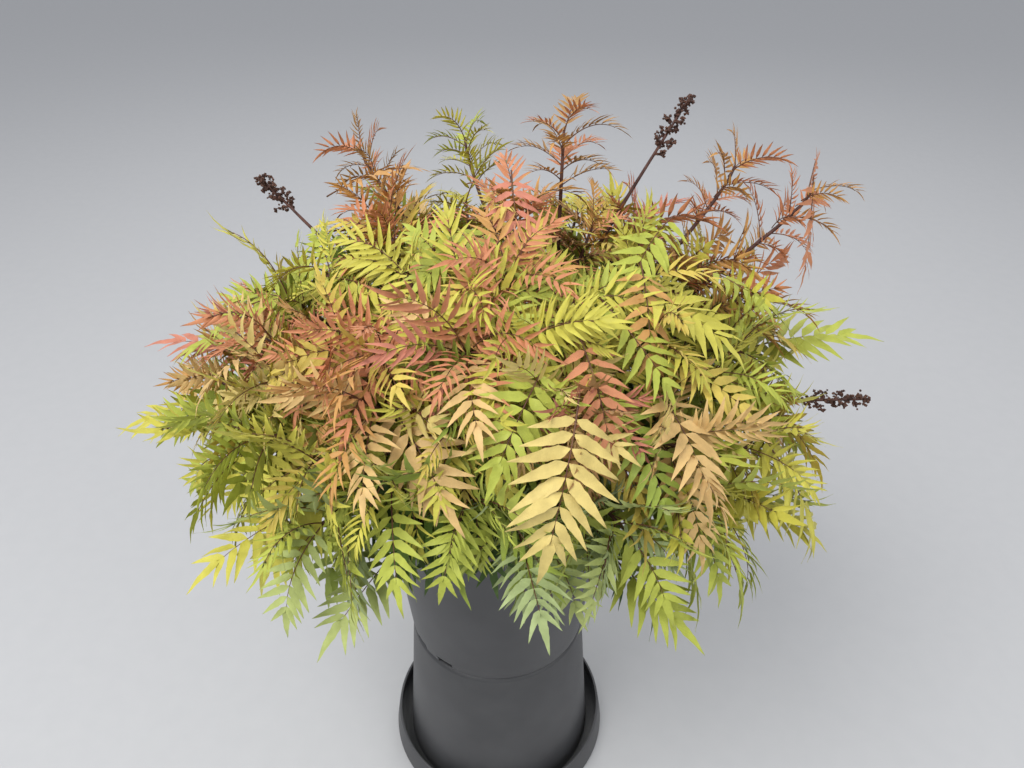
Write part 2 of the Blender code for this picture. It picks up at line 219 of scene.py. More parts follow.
# Single leaves that show plainly in the photograph: tint, base, tip, breadth
SEEN_LEAVES = [
    ("cream", (0.056, -0.165, 0.581), (0.037, -0.225, 0.485), 1.08),
    ("peach", (0.126, -0.120, 0.549), (0.154, -0.190, 0.511), 1.20),
    ("peach", (-0.065, -0.125, 0.553), (-0.002, -0.190, 0.513), 1.15),
    ("yellow", (0.104, -0.045, 0.606), (0.175, -0.115, 0.580), 1.15),
    ("yellow", (-0.104, -0.105, 0.497), (-0.204, -0.150, 0.408), 1.10),
    ("rose", (0.054, -0.080, 0.588), (-0.032, -0.110, 0.581), 0.95),
    ("rose", (0.015, 0.000, 0.648), (0.015, -0.050, 0.602), 0.90),
    ("salmon", (0.068, -0.130, 0.584), (0.086, -0.170, 0.530), 0.95),
    ("salmon", (-0.047, -0.075, 0.591), (-0.126, -0.085, 0.578), 0.95),
    ("salmon", (-0.075, -0.100, 0.573), (-0.101, -0.130, 0.527), 0.95),
    ("lime", (-0.016, -0.030, 0.631), (-0.066, -0.080, 0.615), 1.00),
    ("yellow", (-0.125, -0.020, 0.601), (-0.043, -0.075, 0.598), 1.00),
    ("lime", (0.129, 0.000, 0.633), (0.078, -0.060, 0.612), 1.00),
    ("lime", (0.024, -0.150, 0.578), (-0.006, -0.195, 0.536), 1.10),
    ("gold", (0.144, -0.095, 0.563), (0.202, -0.120, 0.531), 1.00),
    ("lime", (0.098, -0.100, 0.588), (0.125, -0.140, 0.554), 1.00),
    ("orange", (0.107, -0.080, 0.596), (0.105, -0.120, 0.561), 0.95),
    ("yellow", (0.209, -0.085, 0.495), (0.273, -0.125, 0.385), 1.00),
    ("lime", (0.185, -0.020, 0.592), (0.234, -0.065, 0.566), 1.00),
    ("leaf", (0.103, -0.150, 0.539), (0.136, -0.185, 0.495), 1.00),
    ("cream", (-0.194, -0.045, 0.516), (-0.251, -0.075, 0.485), 1.00),
    ("lime", (-0.198, 0.000, 0.543), (-0.279, -0.020, 0.525), 1.00),
    ("gold", (-0.147, -0.085, 0.515), (-0.120, -0.130, 0.469), 1.00),
    ("orange", (-0.122, 0.080, 0.632), (-0.044, 0.075, 0.651), 0.90),
    ("salmon", (0.254, 0.050, 0.618), (0.236, 0.015, 0.571), 0.95),
]
SEEN_LEAST_SIZE = 0.6
SEEN_REACH = 1.12
SEEN_DROOP = 0.5
SEEN_LIFT = 0.3
SEEN_TIP = 0.9

# More shoots, spread over the rest of the dome at equal steps of turn and height
FILL_COUNT = 150
FILL_DEPTH = 1.08
FILL_TURN = 137.508
FILL_SHARE = (0.95, 1.05)
FILL_SIZE = (0.8, 1.0)
FILL_SPACING = 0.056
FILL_KINDS = ["lime", "yellow", "lime", "salmon", "yellow", "green", "peach", "lime", "orange"]
LOW_KINDS = ["lime", "grey", "green", "lime"]
LOW_SHOOTS = 0.12

# Leaves and shoots that stand out of the crown in nodes of their own: tint and size, or kind
SINGLE_LEAVES = {
    "leaf_right": ("lime", 0.78), "leaf_low_right": ("yellow", 0.70),
    "leaf_hanging_right": ("lime", 0.78), "leaf_front": ("grey", 0.62),
    "leaf_hanging_left": ("pale", 0.78), "leaf_low_left": ("yellow", 0.74),
    "leaf_left": ("yellow", 0.80), "frond_left": ("rose", 0.74),
    "leaf_back_left": ("lime", 0.75), "leaf_back": ("yellow", 0.70), "leaf_back_right": ("lime", 0.75),
}
SINGLE_DROOP = 0.35
SINGLE_LIFT = 0.12
SINGLE_TIP = 0.8
STANDING_TUFTS = {
    "shoot_back_left": "orange", "shoot_back": "lime", "shoot_top": "orange",
    "shoot_right": "salmon", "shoot_far_right": "salmon",
}
STANDING_LEAVES = 12
STANDING_SIZE = (0.24, 0.38)
STANDING_DROOP = (0.7, 1.4)
STANDING_STEM = (0.0022, 0.0010, 8)
STANDING_STEM_END = 0.84
STANDING_FOOT_BACK, STANDING_PULL_DOWN = 0.03, 0.02
STANDING_ALONG, STANDING_LIFT = 0.65, 0.2
STANDING_SPLAY, STANDING_SPLAY_STEP = 0.5, 0.05
STANDING_TUFT_FOOT = 4
LEAF_ROOT = (0, 0, 0.45)
SHOOT_ROOT = (0.05, 0.02, 0.45)
SEED_ROOT = (0.0, 0.02, 0.44)
NODE_ROOT_REACH = 1.4
NODE_TIP_REACH = 0.92
LEAST_SHARE = 0.001

# Compound leaves: a full-grown stalk and how it arches, its pairs of leaflets, of which a small leaf
# has one fewer, and how clear of the seed heads it stays
LEAF_LENGTH = 0.124
STALK_RADIUS = 0.0009
STALK_STEPS = 12
STALK_TAPER = 0.6
STALK_LEAST, STALK_MORE = 0.4, 0.6
STALK_SWAY = 0.25
DROOP_START, DROOP_GROWTH = 0.35, 1.3
LEVEL_ENOUGH = 0.02
LEAFLET_PAIRS = 9
LARGE_LEAF = 0.75
LAST_PAIR = 0.97
SEED_CLEARANCE = 0.042
CLEARANCE_STEPS = (-1, -4)

# Leaflets: their length, how it swells and splays along the stalk, and the ranges they are drawn from
LEAFLET_LENGTH = 0.051
SWELL_LEAST, SWELL_MORE = 0.66, 0.34
SWELL_START, SWELL_SPAN = 0.16, 0.80
SPLAY_LOSS = 34
SPLAY_RANGE = (-4, 4)
LIFT_RANGE = (-0.10, 0.16)
LENGTH_RANGE = (0.92, 1.06)
CURL_RANGE = (0.06, 0.36)
TWIST_RANGE = (-0.42, 0.42)
TIP_LEAFLET = 0.92
TIP_CURL_RANGE = (0.10, 0.30)
CURL_SHORTENS = 0.35
WAVE_HEIGHT, WAVE_COUNT = 0.05, 12.0

# A leaflet's outline: half breadth, where it is broadest, how full it is, its taper, and its teeth
HALF_BREADTH = 0.54
BROADEST_POWER = 0.60
FULL_POWER = 0.85
TIP_TAPER = 0.30
TOOTH_GAP = 0.86
TOOTH_LEAD = 0.024

# A shoot's stem as (foot radius, loss, points), its older leaves and its young tuft
STEM = (0.0030, 0.0018, 12)
STEM_RELIEF = 0.25
STEM_RISE, STEM_RUN_OUT = 0.45, 0.30
OLD_LEAVES = 10
OLD_START, OLD_SPAN = 0.48, 0.50
OLD_ACROSS, OLD_ALONG, OLD_OUTWARD = 0.92, 0.42, 0.50
OLD_DROOP = (0.5, 1.0)
OLD_SIZE = (0.80, 1.02)
OLD_SIZE_LEAST, OLD_SIZE_MORE = 0.70, 0.30
TOP_SIZE, TOP_SIZE_LOSS = 1.04, 0.34
AGE_SPREAD = 1.25
# Leaves older than this, low on the stem inside the crown, take the older greens and the painted shade
OLD_GREEN_AND_SHADE_AGE = 0.80
LOWEST_HEADING = -0.25
HANGING_HEIGHT = 0.50
FRESH_KINDS = ("salmon", "rose", "orange", "brown")
YOUNG_LEAVES, FEW_YOUNG_LEAVES = 11, 5
YOUNG_SPLAY, YOUNG_SPLAY_MORE = 0.45, 0.75
YOUNG_ALONG, YOUNG_ALONG_LOSS = 1.05, 0.5
YOUNG_LIFT = 0.15
YOUNG_SIZE = (0.36, 0.60)
YOUNG_DROOP = (0.6, 1.5)
GOLDEN_TURN = radians(137.5)

# Tubes: sides of stems and of thin stalks, and how the bark's noise changes round, along and by place
STEM_SIDES = 6
THIN_SIDES = 4
BARK_ROUND, BARK_STEP, BARK_GRAIN = 3, 0.9, 40
TWIG_RELIEF = 0.2

# Old flower heads: length of the set part by name, the stem, the side twigs and the capsules on them
SEED_HEADS = (("seed_head_left", 0.040), ("seed_head_top", 0.055), ("seed_head_right", 0.055))
HEAD_STEM = (0.0018, 0.0009, 10)
HEAD_PULL = 0.3
HEAD_RISE = 0.004
HEAD_TWIGS = 15
HEAD_TWIG_RADII = [0.0006, 0.0005, 0.0003]
HEAD_TWIG_LENGTH, HEAD_TWIG_LOSS = 0.013, 0.65
HEAD_TWIG_ACROSS, HEAD_TWIG_ALONG = 0.85, 0.6
CAPSULES_ON_TWIG = 16
CAPSULE_SHARE = (0.25, 1.05)
CAPSULE_SCATTER = 0.0014
CAPSULE_SIZE = (0.0012, 0.0022)


def shader_material(name, colour, roughness, specular):
    """A Principled material, with its node tree and shader for the nodes that vary it."""
    made = bpy.data.materials.new(name)
    made.use_nodes = True
    shader = made.node_tree.nodes["Principled BSDF"]
    shader.inputs["Base Color"].default_value = (*colour, 1.0)
    shader.inputs["Roughness"].default_value = roughness
    shader.inputs["Specular IOR Level"].default_value = specular
    return made, made.node_tree, shader


def vary(tree, shader, colours, scale, detail, bump, bump_scale, stretch):
    """Mix two colours by object-space noise, and add a bump of its own scale."""
    coords = tree.nodes.new("ShaderNodeTexCoord")
    mapping = tree.nodes.new("ShaderNodeMapping")
    mapping.inputs["Scale"].default_value = stretch
    tree.links.new(coords.outputs["Object"], mapping.inputs["Vector"])
    speckle = tree.nodes.new("ShaderNodeTexNoise")
    speckle.inputs["Scale"].default_value = scale
    speckle.inputs["Detail"].default_value = detail
    tree.links.new(mapping.outputs["Vector"], speckle.inputs["Vector"])
    ramp = tree.nodes.new("ShaderNodeValToRGB")
    for element, position, colour in zip(ramp.color_ramp.elements, SPECKLE_RAMP, colours):
        element.position = position
        element.color = (*colour, 1.0)
    tree.links.new(speckle.outputs["Fac"], ramp.inputs["Fac"])
    tree.links.new(ramp.outputs["Color"], shader.inputs["Base Color"])
    relief = tree.nodes.new("ShaderNodeTexNoise")
    relief.inputs["Scale"].default_value = bump_scale
    relief.inputs["Detail"].default_value = RELIEF_DETAIL
    tree.links.new(mapping.outputs["Vector"], relief.inputs["Vector"])
    bumper = tree.nodes.new("ShaderNodeBump")
    bumper.inputs["Strength"].default_value = bump
    bumper.inputs["Distance"].default_value = RELIEF_DISTANCE
    tree.links.new(relief.outputs["Fac"], bumper.inputs["Height"])
    tree.links.new(bumper.outputs["Normal"], shader.inputs["Normal"])


def varied_material(name, specular=0.5):
    """One of the LOOKS, with Blender's own specular level unless another is given."""
    colour, roughness, speckle, *grain = LOOKS[name]
    made, tree, shader = shader_material(name, colour, roughness, specular)
    vary(tree, shader, speckle, *grain)
    return made


def leaf_material(name):
    """One leaf tint: a plain base colour with a fine relief and a soft gloss."""
    colour = TINTS[name]
    made, tree, shader = shader_material("leaf_" + name, colour, LEAF_ROUGHNESS, LEAF_SPECULAR)
    shader.inputs["Sheen Weight"].default_value = LEAF_SHEEN
    paler = tuple(min(1.0, c * LEAF_PALER + LEAF_PALER_LIFT) for c in colour)
    darker = tuple(c * LEAF_DARKER for c in colour)
    vary(tree, shader, (darker, paler), *LEAF_GRAIN)
    return made


def add_object(name, data):
    """A new object for some data, in the scene."""
    thing = bpy.data.objects.new(name, data)
    bpy.context.scene.collection.objects.link(thing)
    return thing


class Bag:
    """Points and triangles of many small things, gathered into one mesh."""

    def __init__(self):
        self.points = []
        self.faces = []
        self.slots = []
        self.count = 0

    def add(self, points, faces, slot=0):
        self.points.append(points)
        self.faces.append(faces + self.count)
        self.slots.append(np.full(len(faces), slot, dtype=np.int32))
        self.count += len(points)

    def build(self, name, materials, smooth=True):
        points = np.concatenate(self.points).astype(np.float32)
        faces = np.concatenate(self.faces).astype(np.int32)
        mesh = bpy.data.meshes.new(name)
        mesh.vertices.add(len(points))
        mesh.vertices.foreach_set("co", points.ravel())
        mesh.loops.add(faces.size)
        mesh.loops.foreach_set("vertex_index", faces.ravel())
        mesh.polygons.add(len(faces))
        mesh.polygons.foreach_set("loop_start", np.arange(0, faces.size, 3, dtype=np.int32))
        mesh.polygons.foreach_set("material_index", np.concatenate(self.slots))
        mesh.polygons.foreach_set("use_smooth", np.full(len(faces), smooth))
        mesh.update(calc_edges=True)
        mesh.validate()
        for material in materials:
            mesh.materials.append(material)
        return add_object(name, mesh)


class SideBags:
    """One bag for each side of the plant, so that no piece grows too large."""

    def __init__(self):
        self.bags = {side: Bag() for side in SIDES}

    def add(self, points, faces, slot=0):
        self.bags[side_of(points[0])].add(points, faces, slot)


def side_of(place):
    """The side of the plant that a place is on, seen from above."""
    x, y = place[0], place[1] - CROWN_CENTRE.y
    if abs(y) > abs(x):
        return "front" if y < 0 else "back"
    return "right" if x > 0 else "left"


def array(vector):
    return np.array((vector.x, vector.y, vector.z))


def squared(way, heading):
    """The direction of the part of a way that is square to a heading."""
    return (way - heading * way.dot(heading)).normalized()


def spoke(way, turn):
    """A direction square to a way, turned round it."""
    across = way.cross(UP if abs(way.z) < STEEP else EAST).normalized()
    return Matrix.Rotation(turn, 3, way) @ across


def taper(start, loss, count):
    """Radii that fall evenly from the start by the whole loss."""
    return [start - loss * index / (count - 1) for index in range(count)]


def bezier(start, start_pull, end_pull, end, count):
    """Points on a smooth curve between two places."""
    places = []
    for index in range(count):
        t = index / (count - 1)
        s = 1 - t
        places.append(s ** 3 * start + 3 * s * s * t * start_pull
                      + 3 * s * t * t * end_pull + t ** 3 * end)
    return places


def along_path(path, share):
    """The place at a share of a path's steps, and the number of the step it is on."""
    steps = len(path) - 1
    at = share * steps
    low = min(int(at), steps - 1)
    return path[low].lerp(path[low + 1], at - low), low


def node_middle(name):
    """The middle of a node's box."""
    low, high = (Vector(corner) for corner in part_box(name))
    return (low + high) / 2


SEED_SPOTS = [node_middle(name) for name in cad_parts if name.startswith("seed_head_")]


def leaflet_template(teeth):
    """A toothed lance-shaped leaflet along +X: its points as (along, across), and its triangles."""
    points = [(index / teeth, 0.0) for index in range(teeth + 1)]
    faces = []
    steps = teeth * 2
    for side in (1, -1):
        first = len(points)
        for index in range(steps + 1):
            t = index / steps
            half = HALF_BREADTH * sin(pi * t ** BROADEST_POWER) ** FULL_POWER * (1 - TIP_TAPER * t)
            if index % 2:
                half *= TOOTH_GAP
                t += TOOTH_LEAD
            points.append((min(t, 1.0), side * half))
        for index in range(teeth):
            a, b = index, index + 1
            c, d, e = first + 2 * index, first + 2 * index + 1, first + 2 * index + 2
            for face in ((a, c, d), (a, d, b), (b, d, e)):
                faces.append(face if side < 0 else face[::-1])
    return np.array(points), np.array(faces)


# How full-grown and young compound leaves differ: a leaflet's outline and breadth, the bare share of
# the stalk, how far leaflets fold, and their splay in degrees and lift at the foot of the leaf
FULL_GROWN = {"outline": leaflet_template(teeth=5), "breadth": 0.235, "bare": 0.18, "fold": (0.10, 0.28),
              "splay": 70, "lift": 0.04}
YOUNG = {"outline": leaflet_template(teeth=3), "breadth": 0.165, "bare": 0.22, "fold": (0.30, 0.55),
         "splay": 60, "lift": 0.30}


def add_leaflet(bag, habit, base, heading, normal, length, slot, fold, curl, twist):
    """One leaflet from its base along its heading, folded along the rib and curled down."""
    outline, faces = habit["outline"]
    heading = heading.normalized()
    side = normal.cross(heading).normalized()
    face = heading.cross(side).normalized()
    turn = Matrix.Rotation(twist, 3, heading)
    side, face = turn @ side, turn @ face
    breadth = habit["breadth"]
    along, across = outline[:, 0], outline[:, 1] * breadth
    wave = WAVE_HEIGHT * breadth * np.sin(along * WAVE_COUNT) * (across != 0)
    rise = np.abs(across) * fold - curl * along ** 2 + wave
    reach = along * (1 - CURL_SHORTENS * curl * curl)
    points = (array(base) + np.outer(reach * length, array(heading))
              + np.outer(across * length, array(side)) + np.outer(rise * length, array(face)))
    bag.add(points, faces, slot)


def add_tube(bag, path, radii, sides, relief=0.0):
    """A tapering tube along a path of points, closed at both ends."""
    rings = []
    reference = UP if abs((path[1] - path[0]).normalized().z) < STEEP_TUBE else EAST
    for index, place in enumerate(path):
        ahead = path[min(index + 1, len(path) - 1)] - path[max(index - 1, 0)]
        ahead.normalize()
        across = ahead.cross(reference).normalized()
        reference = across.cross(ahead)
        turns = np.arange(sides) * tau / sides
        radius = np.full(sides, radii[index])
        if relief:
            rough = [noise.noise(Vector((BARK_ROUND * cos(t), BARK_ROUND * sin(t), index * BARK_STEP))
                                 + place * BARK_GRAIN) for t in turns]
            radius = radius * (1 + relief * np.array(rough))
        ring = (array(place) + np.outer(np.cos(turns) * radius, array(across))
                + np.outer(np.sin(turns) * radius, array(reference)))
        rings.append(ring)
    rings.append(array(path[0])[None, :])
    rings.append(array(path[-1])[None, :])
    faces = []
    for ring in range(len(path) - 1):
        for spot in range(sides):
            a = ring * sides + spot
            b = ring * sides + (spot + 1) % sides
            faces += [(a, b, b + sides), (a, b + sides, a + sides)]
    low, high = len(path) * sides, len(path) * sides + 1
    last = (len(path) - 1) * sides
    for spot in range(sides):
        after = (spot + 1) % sides
        faces += [(low, after, spot), (high, last + spot, last + after)]
    bag.add(np.concatenate(rings), np.array(faces))


def add_compound_leaf(leaves, stalks, rng, base, heading, normal, size, tint, droop,
                      habit=FULL_GROWN, broad=1.0):
    """A feathered leaf: an arching stalk with paired leaflets and one at its tip.

    A leaf that would reach a seed head is left out, so that the heads stay in sight.
    """
    heading = heading.normalized()
    slot = TINT_NAMES.index(tint)
    pairs = LEAFLET_PAIRS if size > LARGE_LEAF else LEAFLET_PAIRS - 1
    length = LEAF_LENGTH * size
    place = base.copy()
    path, headings, normals = [place.copy()], [heading.copy()], [normal.copy()]
    sway = rng.uniform(-STALK_SWAY, STALK_SWAY) / STALK_STEPS
    for step in range(STALK_STEPS):
        pull = droop * (DROOP_START + DROOP_GROWTH * step / STALK_STEPS) / STALK_STEPS
        axis = heading.cross(UP)
        if axis.length > LEVEL_ENOUGH:
            turn = Matrix.Rotation(-pull, 3, axis.normalized())
            heading, normal = turn @ heading, turn @ normal
        heading = (Matrix.Rotation(sway, 3, normal) @ heading).normalized()
        normal = squared(normal, heading)
        place = place + heading * (length / STALK_STEPS)
        path.append(place.copy())
        headings.append(heading.copy())
        normals.append(normal.copy())
    if any((path[step] - spot).length < SEED_CLEARANCE
           for spot in SEED_SPOTS for step in CLEARANCE_STEPS):
        return
    thick = STALK_RADIUS * (STALK_LEAST + STALK_MORE * size)
    radii = [thick * (1 - STALK_TAPER * step / STALK_STEPS) for step in range(STALK_STEPS + 1)]
    add_tube(stalks, path, radii, THIN_SIDES)
    fold = rng.uniform(*habit["fold"])
    leaflet = LEAFLET_LENGTH * size * broad
    bare = habit["bare"]
    for pair in range(pairs):
        spot, low = along_path(path, bare + (LAST_PAIR - bare) * pair / (pairs - 1))
        ahead, over = headings[low], normals[low]
        swell = SWELL_LEAST + SWELL_MORE * sin(pi * min(1.0, SWELL_START + SWELL_SPAN * pair / (pairs - 1)))
        splay = radians(habit["splay"] - SPLAY_LOSS * pair / (pairs - 1) + rng.uniform(*SPLAY_RANGE))
        for side in (1, -1):
            across = over.cross(ahead).normalized() * side
            lift = rng.uniform(*LIFT_RANGE) + habit["lift"]
            pointing = ahead * cos(splay) + across * sin(splay) + over * lift
            add_leaflet(leaves, habit, spot, pointing, over, leaflet * swell * rng.uniform(*LENGTH_RANGE),
                        slot, fold, rng.uniform(*CURL_RANGE), rng.uniform(*TWIST_RANGE))
    add_leaflet(leaves, habit, path[-1], headings[-1], normals[-1], leaflet * TIP_LEAFLET, slot,
                fold, rng.uniform(*TIP_CURL_RANGE), 0.0)


def crown_point(turn, height, share):
    """A place on the crown's dome, and the way out of the crown there."""
    az, el = radians(turn), radians(height)
    unit = Vector((cos(el) * sin(az), -cos(el) * cos(az), sin(el)))
    place = CROWN_CENTRE + Vector([u * h * share for u, h in zip(unit, CROWN_HALF)])
    outward = Vector([u / h for u, h in zip(unit, CROWN_HALF)]).normalized()
    return place, outward


def all_shoots(rng):
    """The shoots seen in the photograph, and more of them wherever the crown has room."""
    shoots = [(kind, *crown_point(turn, height, share), size)
              for kind, turn, height, share, size in SHOOTS]
    for index in range(FILL_COUNT):
        high = 1 - FILL_DEPTH * (index + 0.5) / FILL_COUNT
        height = np.degrees(np.arcsin(high))
        place, outward = crown_point(index * FILL_TURN, height, rng.uniform(*FILL_SHARE))
        near = min((place - other[1]).length for other in shoots)
        if near < FILL_SPACING:
            continue
        kind = rng.choice(FILL_KINDS)
        if high < LOW_SHOOTS:
            kind = rng.choice(LOW_KINDS)
        shoots.append((kind, place, outward, rng.uniform(*FILL_SIZE)))
    return shoots


def add_old_leaves(bags, rng, path, outward, kind, size, start):
    """A shoot's older leaves, set in a spiral from the middle of its stem to the tip."""
    leaves, _, stalks, _ = bags
    tints = SHOOT_KINDS[kind]["old"]
    for index in range(OLD_LEAVES):
        age = 1 - index / (OLD_LEAVES - 1)
        spot, low = along_path(path, OLD_START + OLD_SPAN * index / (OLD_LEAVES - 1))
        way = (path[low + 1] - path[low]).normalized()
        across = spoke(way, start + index * GOLDEN_TURN)
        heading = (across * OLD_ACROSS + way * OLD_ALONG + outward * OLD_OUTWARD).normalized()
        if heading.z < LOWEST_HEADING and spot.z < HANGING_HEIGHT:
            heading.z = LOWEST_HEADING
            heading.normalize()
        normal = squared(way, heading)
        tint = tints[min(len(tints) - 1, int(age * AGE_SPREAD * len(tints)))]
        # the lowest leaves, inside the crown, take real older greens or the dark green of painted shade
        if age > OLD_GREEN_AND_SHADE_AGE:
            tint = rng.choice(OLD_GREEN_AND_SHADE_TINTS)
        span = (size * rng.uniform(*OLD_SIZE) * (OLD_SIZE_LEAST + OLD_SIZE_MORE * age)
                * (TOP_SIZE - TOP_SIZE_LOSS * max(0.0, outward.z)))
        add_compound_leaf(leaves, stalks, rng, spot, heading, normal, span, tint,
                          rng.uniform(*OLD_DROOP))


def add_young_tuft(bags, rng, path, kind, size, start):
    """A shoot's young leaves, opening like an umbrella at the tip of its stem."""
    _, young, stalks, _ = bags
    tip_way = (path[-1] - path[-3]).normalized()
    tuft = YOUNG_LEAVES if kind in FRESH_KINDS else FEW_YOUNG_LEAVES
    for index in range(tuft):
        across = spoke(tip_way, start + index * GOLDEN_TURN)
        splay = YOUNG_SPLAY + YOUNG_SPLAY_MORE * index / tuft
        along = YOUNG_ALONG - YOUNG_ALONG_LOSS * splay
        heading = (tip_way * along + across * splay + UP * YOUNG_LIFT).normalized()
        normal = squared(tip_way, heading)
        span = size * rng.uniform(*YOUNG_SIZE)
        spot = path[-1].lerp(path[-3], index / tuft)
        add_compound_leaf(young, stalks, rng, spot, heading, normal, span,
                          rng.choice(SHOOT_KINDS[kind]["young"]), rng.uniform(*YOUNG_DROOP), YOUNG)


def add_shoot(bags, rng, foot, place, outward, kind, size):
    """One stem from the clump to the crown's surface, with its older leaves and its young tuft."""
    twigs = bags[-1]
    rise = (place - foot).length
    path = bezier(foot, foot + UP * rise * STEM_RISE, place - outward * rise * STEM_RUN_OUT, place,
                  STEM[-1])
    add_tube(twigs, path, taper(*STEM), STEM_SIDES, STEM_RELIEF)
    start = rng.uniform(0, tau)
    add_old_leaves(bags, rng, path, outward, kind, size, start)
    add_young_tuft(bags, rng, path, kind, size, start)


def turned(name, outline, segments=POT_SEGMENTS):
    """A shell of revolution from an outline of (radius, height) points, axis to axis."""
    mesh = bmesh.new()
    points = [mesh.verts.new((radius, 0.0, height)) for radius, height in outline]
    edges = [mesh.edges.new(pair) for pair in zip(points, points[1:])]
    bmesh.ops.spin(mesh, geom=points + edges, cent=(0, 0, 0), axis=(0, 0, 1), angle=tau, steps=segments)
    bmesh.ops.remove_doubles(mesh, verts=mesh.verts, dist=WELD)
    bmesh.ops.recalc_face_normals(mesh, faces=mesh.faces)
    data = bpy.data.meshes.new(name)
    mesh.to_mesh(data)
    mesh.free()
    data.shade_smooth()
    data.set_sharp_from_angle(angle=radians(SHARP_DEGREES))
    return add_object(name, data)


def rounded(outline):
    """The outline with each inner corner cut into a small two-step round."""
    smooth = [outline[0]]
    for before, corner, after in zip(outline, outline[1:], outline[2:]):
        here = Vector(corner)
        back, on = Vector(before) - here, Vector(after) - here
        cut_back = min(CORNER_RADIUS, back.length * CORNER_SHARE)
        cut_on = min(CORNER_RADIUS, on.length * CORNER_SHARE)
        a, b = here + back.normalized() * cut_back, here + on.normalized() * cut_on
        smooth += [tuple(a), tuple(here * 0.5 + a * 0.25 + b * 0.25), tuple(b)]
    return smooth + [outline[-1]]


def lower_container(plastic):
    """The upturned container: its closed end, outer wall, groove, skirt, flange and inner wall."""
    (_, _, low), (wide, _, top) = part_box("lower_container")
    skirt_top = wide - SKIRT_LEAN
    outline = [
        (0.0, top), (BASE_RADIUS - FLOOR_THICK, top), (BASE_RADIUS, top - FLOOR_THICK),
        (BASE_RADIUS + GROOVE_MOUTH, low + GROOVE_MOUTH_HEIGHT),
        (BASE_RADIUS + GROOVE_FLOOR, low + GROOVE_FLOOR_HEIGHT),
        (wide - WALL, low + GROOVE_FLOOR_HEIGHT),
        (skirt_top - WALL, low + SKIRT_HEIGHT), (skirt_top + SKIRT_LIP, low + SKIRT_HEIGHT),
        (wide, low + FLANGE_BEVEL_HEIGHT), (wide - FLANGE_BEVEL, low), (BASE_RADIUS + FLANGE_INSIDE, low),
        (BASE_RADIUS - WALL, top - FLOOR_THICK), (0.0, top - FLOOR_THICK),
    ]
    pot = turned("lower_container_shell", rounded(outline))
    pot.data.materials.append(plastic)
    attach(pot, "root")
    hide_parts("lower_container")


def notch_cutter(foot):
    """Boxes where the drain notches go, as one object."""
    mesh = bmesh.new()
    for turn in [pair + spread for pair in NOTCH_PAIRS for spread in (-NOTCH_SPREAD, NOTCH_SPREAD)]:
        made = bmesh.ops.create_cube(mesh, size=1.0)["verts"]
        bmesh.ops.scale(mesh, verts=made, vec=NOTCH_SIZE)
        bmesh.ops.translate(mesh, verts=made, vec=(BASE_RADIUS, 0, foot))
        spin = Matrix.Rotation(radians(turn - 90), 3, "Z")
        bmesh.ops.rotate(mesh, verts=made, cent=(0, 0, 0), matrix=spin)
    data = bpy.data.meshes.new("notch_cutter")
    mesh.to_mesh(data)
    mesh.free()
    return add_object("notch_cutter", data)


def plant_container(plastic):
    """The plant's container: its floor, outer wall, lip and inner wall, with the notches cut."""
    (_, _, foot), (wide, _, rim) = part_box("plant_container")
    mouth = wide - LIP_WIDTH
    outline = [
        (0.0, foot), (BASE_RADIUS - FLOOR_THICK, foot), (BASE_RADIUS, foot + FLOOR_THICK),
        (BASE_RADIUS + ABOVE_NOTCHES, foot + ABOVE_NOTCHES_HEIGHT),
        (mouth - LIP_UNDERSIDE, rim - LIP_UNDERSIDE_DROP),
        (wide - LIP_FOOT, rim - LIP_FOOT_DROP), (wide, rim - LIP_BEVEL),
        (wide - LIP_BEVEL, rim), (mouth - WALL, rim - LIP_INSIDE_DROP),
        (BASE_RADIUS - WALL, foot + FLOOR_THICK), (0.0, foot + FLOOR_THICK),
    ]
    pot = turned("plant_container_shell", rounded(outline))
    pot.data.materials.append(plastic)
    cutter = notch_cutter(foot)
    cut = pot.modifiers.new("Drain notches", "BOOLEAN")
    cut.operation = "DIFFERENCE"
    cut.object = cutter
    bpy.context.view_layer.objects.active = pot
    bpy.ops.object.modifier_apply(modifier=cut.name)
    bpy.data.objects.remove(cutter, do_unlink=True)
    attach(pot, "root")
    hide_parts("plant_container")


def add_crumb(crumbs, rng, wide, top):
    """One crumb of bark, lying on the compost."""
    spread, turn = (wide - CRUMB_EDGE) * rng.random() ** 0.5, rng.uniform(0, tau)
    height = top - CRUMB_SINK + rng.uniform(0, CRUMB_LIFT)
    place = Vector((spread * cos(turn), spread * sin(turn), height))
    long, broad, thick = (rng.uniform(*span) for span in (CRUMB_LENGTH, CRUMB_BREADTH, CRUMB_THICKNESS))
    tip = Vector([rng.uniform(-most, most) for most in CRUMB_TILT]).normalized()
    side = tip.cross(UP).normalized()
    over = side.cross(tip)
    ends = [place + tip * long, place - tip * long, place + side * broad,
            place - side * broad, place + over * thick, place - over * thick]
    crumbs.add(np.array([array(end) for end in ends]), LUMP_FACES)


def compost(rng):
    """The compost's lumpy surface, with bark crumbs on it."""
    (_, _, low), (wide, _, top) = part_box("root_ball")
    outline = [(0.0, low + BALL_GAP), (BALL_FOOT_RADIUS, low + BALL_GAP),
               (wide - BALL_SHOULDER, top - BALL_SHOULDER_DROP)]
    outline += [((wide - BALL_GAP) * (1 - index / SURFACE_RINGS), top - SURFACE_DROP)
                for index in range(SURFACE_RINGS + 1)]
    ball = turned("compost_surface", outline, BALL_SEGMENTS)
    for vert in ball.data.vertices:
        if vert.co.z > top - LUMPY_DEPTH:
            vert.co.z += sum(noise.noise(vert.co * grain) * height for grain, height in LUMPS)
    crumbs = Bag()
    for _ in range(CRUMB_COUNT):
        add_crumb(crumbs, rng, wide, top)
    chips = crumbs.build("compost_crumbs", [varied_material("stem_bark")], smooth=False)
    ball.data.materials.append(varied_material("compost"))
    for piece in (ball, chips):
        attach(piece, "root")
        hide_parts("root_ball")


